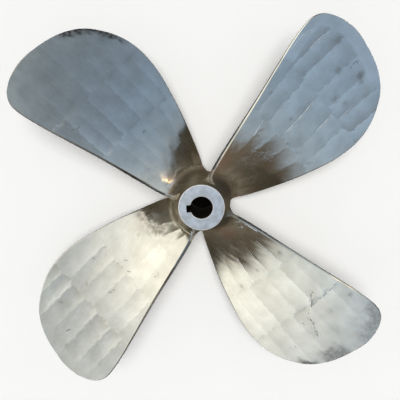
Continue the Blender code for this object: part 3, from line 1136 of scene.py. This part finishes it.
def clouded(tree, per_metre, detail, dark, light):
    """Clouding on an object, by how many clouds fit in a metre, and its colour from dark to light."""
    place = add_node(tree, "TexCoord", output="Object")
    cloud = add_node(tree, "TexNoise", {"Vector": place, "Scale": per_metre, "Detail": detail})
    return cloud, add_node(tree, "Mix", {0: cloud, 6: dark, 7: light}, data_type="RGBA")


def bore_painted_shade(settings):
    """Bronze bored to a taper, painted near black and without a shine: painted shade in the deep bore.
    """
    material, tree = new_material("greased_bored_bronze")
    _, colour = clouded(tree, BORE_CLOUDS_PER_METRE, 4, settings.bored_dark, settings.bored_light)
    return end_material(
        material, {"Base Color": colour, "Roughness": 0.8, "Specular IOR Level": 0.15}
    )


def filed_bronze(settings):
    """Bronze chamfered with a file: coarse, near white and partly diffuse, a painted highlight that
    shows on the chamfers from every side.
    """
    material, tree = new_material("filed_bronze")
    cloud, colour = clouded(tree, FILE_MARKS_PER_METRE, 3, settings.faced_light, settings.burr)
    rough = add_node(tree, "MapRange", (cloud, 0.3, 0.7, 0.55, 0.70))
    return end_material(material, {"Base Color": colour, "Metallic": 0.4, "Roughness": rough})


def floor_paint(settings):
    """Matt floor paint, rolled: pale and even, with a faint mottle."""
    material, tree = new_material("matt_floor_paint")
    _, colour = clouded(tree, FLOOR_CLOUDS_PER_METRE, 3, settings.floor_dark, settings.floor_light)
    return end_material(
        material, {"Base Color": colour, "Roughness": 0.9, "Specular IOR Level": 0.1}
    )


def pad_painted_shade(settings):
    """Black matt pad under the bore, which puts painted shade at the bore's end where the floor would
    show.
    """
    return end_material(
        new_material("black_rubber")[0],
        {"Base Color": settings.bore_pad_shade, "Roughness": 0.9, "Specular IOR Level": 0.1},
    )


# Surroundings that the metal mirrors, by azimuth in degrees from +X towards +Y: the height in
# degrees of the dark ground and trees, the share of bright haze in the sky above them, how dim the
# clear sky is there, and how light the ground is
HORIZON = (
    (-180, 12, 0.98, 1.00, 0.80),
    (-168, 44, 0.94, 1.00, 0.55),
    (-164, 35, 0.93, 1.00, 0.55),
    (-159, 29, 0.92, 1.00, 0.58),
    (-150, 32, 0.88, 1.00, 0.60),
    (-140, 33, 0.78, 1.00, 0.62),
    (-122, 28, 0.58, 1.00, 0.85),
    (-105, 34, 0.22, 1.10, 0.90),
    (-84, 36, 0.04, 1.06, 0.80),
    (-72, 33, 0.02, 1.06, 0.85),
    (-61, 32, 0.00, 1.02, 1.00),
    (-50, 25, 0.00, 1.02, 1.30),
    (-25, 30, 0.00, 0.95, 1.10),
    (-4, 32, 0.00, 0.84, 0.90),
    (10, 22, 0.00, 0.80, 0.55),
    (28, 6, 0.02, 0.82, 1.60),
    (45, -6, 0.10, 0.87, 2.10),
    (80, 24, 0.55, 1.00, 1.00),
    (98, 31, 0.78, 1.00, 0.90),
    (116, 22, 0.86, 1.00, 0.95),
    (132, 11, 1.00, 1.00, 1.00),
    (155, 0, 1.00, 1.00, 1.00),
    (180, 12, 0.98, 1.00, 0.80),
)

# Light by height in degrees: the clear sky's and the haze's
CLEAR_SKY = (
    (30, (0.52, 0.66, 0.90)),
    (40, (0.46, 0.62, 0.88)),
    (50, (0.41, 0.58, 0.87)),
    (58, (0.37, 0.52, 0.80)),
    (68, (0.32, 0.43, 0.63)),
    (76, (0.31, 0.41, 0.56)),
    (80, (0.38, 0.48, 0.62)),
    (86, (0.72, 0.87, 1.06)),
)
HAZE = (
    (30, (1.62, 1.68, 1.70)),
    (50, (1.66, 1.72, 1.78)),
    (58, (1.50, 1.57, 1.68)),
    (67, (1.06, 1.14, 1.28)),
    (72, (0.76, 0.84, 0.98)),
    (84, (0.66, 0.78, 0.95)),
)
BRIGHTEST = 2.0
LIGHTEST_GROUND = 2.5
SOIL = (0.165, 0.132, 0.098)
GROUND_SOFTNESS = math.radians(7.5)
FLOOR_GLOW = (0.44, 0.41, 0.36, 1)
FLOOR_GLOW_HEIGHTS = (math.radians(2), math.radians(-28))
UNDERSIDE = (0.11, 0.088, 0.066, 1)
UNDERSIDE_HEIGHTS = (math.radians(-30), math.radians(-55))
EVEN_LIGHT = (0.30, 0.30, 0.30, 1)

# How much of the ground's light is left where one blade mirrors another's back
SECOND_MIRROR = 0.35
BACKDROP = (0.93, 0.93, 0.93, 1)

# Small warm lamps low on the upper side that the roots mirror: azimuth, height, width and tallness
# in degrees, and the light's colour times its strength
LAMP_DISTANCE = 4.0
LAMPS = (
    (42, 6, 3.5, 12, (5.5, 4.2, 2.0)),
    (40, 11, 6, 18, (0.8, 0.62, 0.42)),
)


def studio_world():
    """Soft surroundings for the metal to mirror, clear on one side and hazy on the other, with even
    white light for everything else and a plain pale backdrop."""
    world = bpy.data.worlds.new("studio")
    world.use_nodes = True
    tree = world.node_tree
    tree.nodes.clear()

    # Turn round Z from 0 to 1, height in radians, and height from the horizon to the zenith
    heading = add_node(tree, "TexCoord", output="Generated")
    x, y, z = add_node(tree, "SeparateXYZ", (heading,)).node.outputs
    angle = add_node(tree, "Math", (y, x), operation="ARCTAN2")
    turn = add_node(tree, "Math", (angle, 0.5 / math.pi, 0.5), operation="MULTIPLY_ADD")
    height = add_node(tree, "Math", (z,), operation="ARCSINE")
    up = add_node(tree, "Math", (height, 2 / math.pi), operation="MULTIPLY")

    # What HORIZON says of this direction
    around = []
    for azimuth, low, haze, dim, lightness in HORIZON:
        numbers = ((low + 90) / 180, haze, dim / BRIGHTEST, lightness / LIGHTEST_GROUND)
        around.append(((azimuth + 180) / 360, numbers))
    horizon, lightness = add_node(tree, "ValToRGB", (turn,), stops=around).node.outputs
    low, haziness, dim = add_node(tree, "SeparateColor", (horizon,)).node.outputs

    # Sky: clear, with a share of haze
    skies = []
    for bands in (CLEAR_SKY, HAZE):
        stops = [(at / 90, (*[part / BRIGHTEST for part in colour], 1)) for at, colour in bands]
        skies.append(add_node(tree, "ValToRGB", (up,), stops=stops))
    dim = add_node(tree, "Math", (dim, BRIGHTEST**2), operation="MULTIPLY")
    clear = add_node(tree, "VectorMath", {0: skies[0], "Scale": dim}, operation="SCALE")
    haze = add_node(tree, "VectorMath", {0: skies[1], "Scale": BRIGHTEST}, operation="SCALE")
    sky = add_node(tree, "Mix", {0: haziness, 6: clear, 7: haze}, data_type="RGBA")

    # Ground: soil, then the floor's glow, then the propeller's dark underside
    lightness = add_node(tree, "Math", (lightness, LIGHTEST_GROUND), operation="MULTIPLY")
    ground = add_node(tree, "VectorMath", {0: SOIL, "Scale": lightness}, operation="SCALE")
    for heights, colour in ((FLOOR_GLOW_HEIGHTS, FLOOR_GLOW), (UNDERSIDE_HEIGHTS, UNDERSIDE)):
        share = add_node(tree, "MapRange", (height, *heights))
        ground = add_node(tree, "Mix", {0: share, 6: ground, 7: colour}, data_type="RGBA")
    path = add_node(tree, "LightPath").node.outputs
    left = add_node(tree, "MapRange", (path["Glossy Depth"], 1, 2, 1, SECOND_MIRROR))
    ground = add_node(tree, "VectorMath", {0: ground, "Scale": left}, operation="SCALE")

    # The sky over the ground, then what other surfaces and the camera see instead
    top = add_node(tree, "Math", (low, math.pi, -math.pi / 2), operation="MULTIPLY_ADD")
    over = add_node(tree, "Math", (height, top), operation="SUBTRACT")
    edges = (over, -GROUND_SOFTNESS, GROUND_SOFTNESS)
    colour = ground
    for share, layer in (
        (add_node(tree, "MapRange", edges, interpolation_type="SMOOTHSTEP"), sky),
        (path["Is Diffuse Ray"], EVEN_LIGHT),
        (path["Is Camera Ray"], BACKDROP),
    ):
        colour = add_node(tree, "Mix", {0: share, 6: colour, 7: layer}, data_type="RGBA")
    background = add_node(tree, "Background", (colour,))
    add_node(tree, "OutputWorld", {"Surface": background})
    bpy.context.scene.world = world


def camera_direction():
    """Direction from the aft hub face towards the camera."""
    return Vector(
        (
            math.sin(CAMERA_SIDE) * math.cos(CAMERA_LEAN),
            math.sin(CAMERA_LEAN),
            math.cos(CAMERA_SIDE) * math.cos(CAMERA_LEAN),
        )
    )


def add_camera():
    """Camera over the aft side, a little above the shaft's axis."""
    data = bpy.data.cameras.new("camera")
    data.lens = CAMERA_LENS_MM
    data.sensor_width = 36
    data.shift_x, data.shift_y = CAMERA_SHIFT
    camera = bpy.data.objects.new("camera", data)
    bpy.context.scene.collection.objects.link(camera)
    camera.location = Vector((0, 0, HUB_LENGTH)) + camera_direction() * CAMERA_DISTANCE
    camera.rotation_euler = (-CAMERA_LEAN, CAMERA_SIDE, 0)
    bpy.context.scene.camera = camera


def add_light(name, kind, direction, distance):
    """Light that shines on the hub from a direction and is hidden from the camera."""
    data = bpy.data.lights.new(name, kind)
    light = bpy.data.objects.new(name, data)
    bpy.context.scene.collection.objects.link(light)
    light.location = Vector((0, 0, HUB_LENGTH)) + direction * distance
    light.rotation_euler = (-direction).to_track_quat("-Z", "Y").to_euler()
    light.visible_camera = False
    return light


def add_floor_light():
    """Broad soft light from the camera's side that brightens the floor and isn't mirrored."""
    light = add_light("floor_light", "SUN", camera_direction(), CAMERA_DISTANCE)
    light.data.energy = FLOOR_LIGHT
    light.data.angle = FLOOR_LIGHT_SPREAD
    light.visible_glossy = False


def add_lamps():
    """Warm lamps low beside the propeller, seen only as glints in the metal."""
    for number, (azimuth, height, width, tallness, colour) in enumerate(LAMPS):
        turn = math.radians(azimuth)
        lift = math.radians(height)
        direction = Vector(
            (math.cos(turn) * math.cos(lift), math.sin(turn) * math.cos(lift), math.sin(lift))
        )
        light = add_light(f"warm_lamp_{number + 1}", "AREA", direction, LAMP_DISTANCE)
        light.data.shape = "ELLIPSE"
        light.data.size = LAMP_DISTANCE * math.radians(width)
        light.data.size_y = LAMP_DISTANCE * math.radians(tallness)
        light.data.color = [part / max(colour) for part in colour]
        area = math.pi / 4 * light.data.size * light.data.size_y
        light.data.energy = math.pi * max(colour) * area
        light.visible_diffuse = False


def add_disc(name, radius, z, material):
    """Flat round stage piece."""
    bm = bmesh.new()
    bmesh.ops.create_circle(bm, cap_ends=True, radius=radius, segments=DISC_SEGMENTS)
    disc = add_object(name, mesh_of(bm, name))
    disc.data.materials.append(material)
    disc.location.z = z
    disc.visible_glossy = False


def length_property(label, text, metres):
    """Property for a small length."""
    return bpy.props.FloatProperty(
        name=label, description=text, default=metres, precision=5, subtype="DISTANCE", unit="LENGTH"
    )


def colour_property(label, text, code):
    """Property for a colour, given as an sRGB hex code."""
    return bpy.props.FloatVectorProperty(
        name=label, description=text, subtype="COLOR", size=4, min=0, max=1, default=linear(code)
    )


class GrindingSettings(bpy.types.PropertyGroup):
    """How deeply the blades are ground."""

    strip_depth: length_property(
        "Strip depth", "Depth of the hollow that one pass of the grinder leaves", 0.0006
    )
    unevenness: length_property("Unevenness", "Slow rise and fall of the ground faces", 0.00018)
    dig_depth: length_property(
        "Dig depth", "How much deeper the disc digs where a pass starts", 0.0008
    )
    root_unevenness: length_property(
        "Root unevenness", "Short rise and fall near the roots, where a grinder can't lie flat", 0.0002
    )
    rim_fall: length_property(
        "Rim fall", "How far the pass round the tip falls towards the edge", 0.0007
    )


class FinishSettings(bpy.types.PropertyGroup):
    """Colours of the bronze and the floor."""

    # The bright and dull bronze also give the painted highlight and painted shade across the strips
    bronze_light: colour_property("Bright bronze", "Freshly ground bronze", "#DFD9C7")
    bronze_dark: colour_property("Dull bronze", "Ground bronze that has dulled", "#B1AA98")
    # Brown oxide, partly a painted reflection of the dark ground and painted shade on the backs
    oxide: colour_property("Oxide", "Brown oxide film at the roots", "#948872")
    copper: colour_property("Copper", "Pinkish patches, rich in copper", "#CBA894")
    # Cast skin, also used for a painted shade at one tip
    cast_skin_and_shade: colour_property("Cast skin", "Dull skin left from the casting", "#504D48")
    # Painted shade: the dark outline along the blades' rounded edges
    edge_painted_shade: colour_property("Edge skin", "Darker skin on the blades' rounded edges", "#55514A")
    # Burrs and filed edges, near white: partly a painted glint
    burr: colour_property("Fresh edge", "Burrs and filed edges", "#F4F3EF")
    faced_light: colour_property("Bright facing", "Lathe-faced end of the hub", "#E2DFD8")
    faced_dark: colour_property("Dull facing", "Duller patches of the faced end", "#C8C4BA")
    # The bore's colours are painted shade, near black
    bored_light: colour_property("Bore", "Wall of the shaft bore", "#26221D")
    bored_dark: colour_property("Dark bore", "Oily patches of the bore", "#161310")
    # Painted shade: the black pad at the end of the bore
    bore_pad_shade: colour_property("Rubber", "Pad under the bore", "#14110F")
    floor_light: colour_property("Floor", "Floor paint", "#FAFAF9")
    floor_dark: colour_property("Floor mottle", "Fainter patches of the floor paint", "#F7F7F5")


class PROPELLER_OT_casting(bpy.types.Operator):
    """Build the bronze casting: the hub and its four ground blades"""

    bl_idname = "propeller.casting"
    bl_label = "Build Casting"
    bl_options = {"REGISTER", "UNDO"}

    def execute(self, context):
        finish = context.scene.propeller_finish
        materials = (
            ground_bronze(finish),
            faced_bronze(finish),
            bore_painted_shade(finish),
            filed_bronze(finish),
        )
        mesh = joined_mesh(context.scene.propeller_grinding, materials)
        smooth_roots(mesh)
        mesh.materials.clear()
        for material in materials:
            mesh.materials.append(material)
        paint_faces(mesh)
        store_marks(mesh)
        mesh.shade_smooth()
        mesh.set_sharp_from_angle(angle=SHARP_ANGLE)
        casting = add_object("propeller_casting", mesh)
        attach(casting, "root")
        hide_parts("propeller")
        return {"FINISHED"}


class PROPELLER_OT_stage(bpy.types.Operator):
    """Set the propeller on a plain pale floor under soft light, with its camera"""

    bl_idname = "propeller.stage"
    bl_label = "Set Stage"
    bl_options = {"REGISTER", "UNDO"}

    def execute(self, context):
        finish = context.scene.propeller_finish
        add_disc("floor", FLOOR_RADIUS, 0.0, floor_paint(finish))
        # Black pad that puts painted shade at the end of the bore
        add_disc("bore_pad", bore_radius(PAD_HEIGHT) - PAD_GAP, PAD_HEIGHT, pad_painted_shade(finish))
        add_camera()
        studio_world()
        add_floor_light()
        add_lamps()
        context.scene.view_settings.view_transform = "Standard"
        return {"FINISHED"}


class PROPELLER_PT_panel(bpy.types.Panel):
    """Sizes and colours of the propeller, and the buttons that build it"""

    bl_idname = "PROPELLER_PT_panel"
    bl_label = "Ship Propeller"
    bl_space_type = "VIEW_3D"
    bl_region_type = "UI"
    bl_category = "Propeller"

    def draw(self, context):
        for group in (context.scene.propeller_grinding, context.scene.propeller_finish):
            for name in type(group).__annotations__:
                self.layout.prop(group, name)
        self.layout.operator(PROPELLER_OT_casting.bl_idname)
        self.layout.operator(PROPELLER_OT_stage.bl_idname)


CLASSES = (
    GrindingSettings,
    FinishSettings,
    PROPELLER_OT_casting,
    PROPELLER_OT_stage,
    PROPELLER_PT_panel,
)


def register():
    for new_class in CLASSES:
        bpy.utils.register_class(new_class)
    bpy.types.Scene.propeller_grinding = bpy.props.PointerProperty(type=GrindingSettings)
    bpy.types.Scene.propeller_finish = bpy.props.PointerProperty(type=FinishSettings)


def unregister():
    del bpy.types.Scene.propeller_finish
    del bpy.types.Scene.propeller_grinding
    for old_class in reversed(CLASSES):
        bpy.utils.unregister_class(old_class)


def main():
    register()
    bpy.ops.propeller.casting()
    bpy.ops.propeller.stage()


if __name__ == "__main__":
    main()
